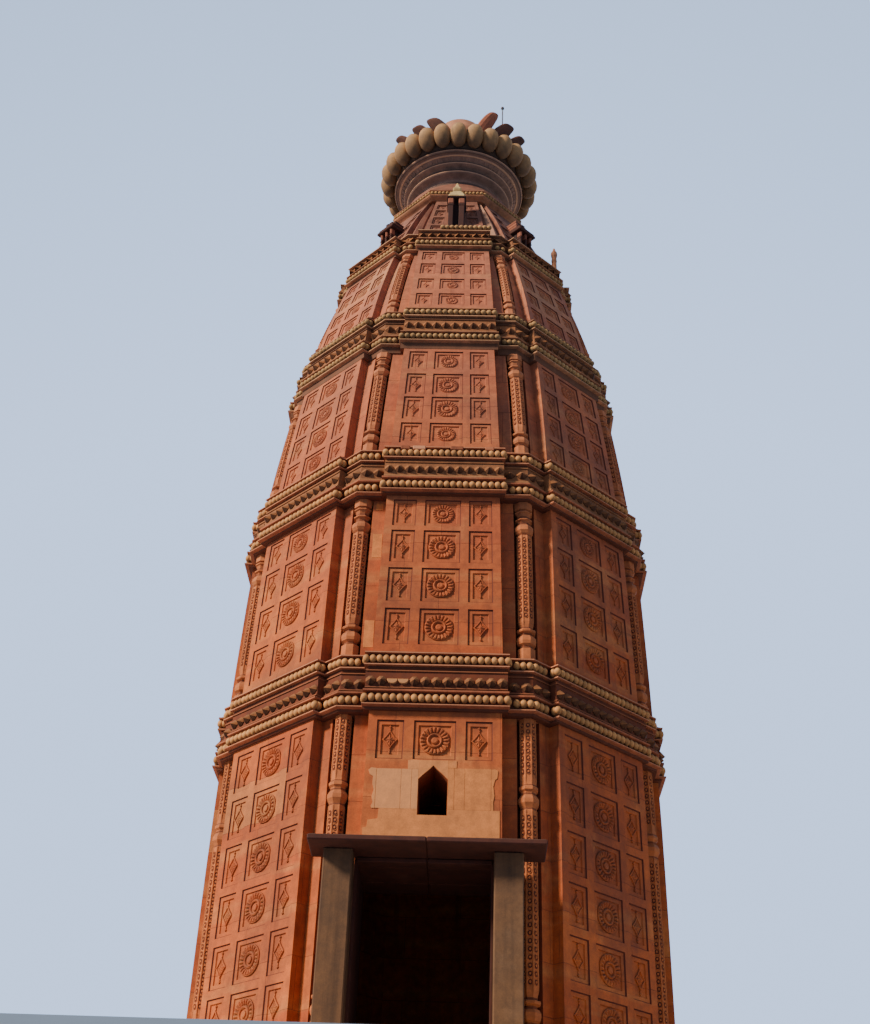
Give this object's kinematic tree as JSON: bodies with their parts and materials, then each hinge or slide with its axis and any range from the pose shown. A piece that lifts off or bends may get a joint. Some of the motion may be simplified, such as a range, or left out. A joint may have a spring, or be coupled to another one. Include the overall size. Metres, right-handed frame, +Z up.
{
  "type": "octagonal sandstone temple tower",
  "caption": "Hollow octagonal temple tower of carved red sandstone: curved storeys with raised bays, beaded cornices, a lobed lotus crown, a pointed window and a canopied doorway.",
  "frame": {"origin": "ground level at the tower's axis, on the underside of the floor slab", "axes": "+Z up along the tower's axis, -Y out through the doorway, +X to the right seen from the front"},
  "size_m": [7.8, 8.46, 21.86],
  "materials": {
    "red_sandstone": "carved red sandstone, weathered",
    "buff_ashlar": "pale buff replacement ashlar set in red sandstone",
    "ochre_sandstone": "ochre and brown sandstone mouldings",
    "weathered_sandstone": "dark, mossy, worn sandstone mouldings",
    "lobe_sandstone": "smooth ochre sandstone, dark underneath",
    "grey_buff_stone": "plain dressed grey-buff stone",
    "dark_slab_stone": "dark stone slab",
    "floor_stone": "worn paving stone",
    "dome_plaster": "lime plaster and stone, orange-pink",
    "rod_iron": "dull iron"
  },
  "bodies": {
    "root": {"base_course_and_colonettes_1": "red_sandstone", "floor": "floor_stone", "wall_1_left_jamb": "red_sandstone", "wall_1_right_jamb": "red_sandstone", "wall_1_over_doorway": "buff_ashlar", "wall_1_left": "red_sandstone", "wall_1_right": "red_sandstone", "wall_1_back": "red_sandstone", "wall_2_left": "red_sandstone", "wall_2_right": "red_sandstone", "wall_3_left": "red_sandstone", "wall_3_right": "red_sandstone", "wall_4_left": "red_sandstone", "wall_4_right": "red_sandstone", "wall_5_and_aedicules": "red_sandstone", "bead_course_5": "weathered_sandstone", "skirt_roof": "red_sandstone", "neck": "red_sandstone", "lobe_ring": "lobe_sandstone", "petal_ring": "lobe_sandstone", "cap_dome": "dome_plaster", "lightning_rod": "rod_iron", "porch_canopy": "dark_slab_stone", "porch_post_left": "grey_buff_stone", "porch_post_right": "grey_buff_stone", "cornice_1_lower_course": "ochre_sandstone", "cornice_1_jewel_band": "ochre_sandstone", "cornice_1_top_course_and_colonettes_2": "ochre_sandstone", "cornice_2_lower_course": "ochre_sandstone", "cornice_2_jewel_band": "ochre_sandstone", "cornice_2_top_course_and_colonettes_3": "ochre_sandstone", "cornice_3_lower_course": "weathered_sandstone", "cornice_3_jewel_band": "weathered_sandstone", "cornice_3_top_course_and_colonettes_4": "weathered_sandstone", "cornice_4_lower_course": "weathered_sandstone", "cornice_4_jewel_band": "weathered_sandstone", "cornice_4_top_course": "weathered_sandstone"}
  },
  "joints": []
}
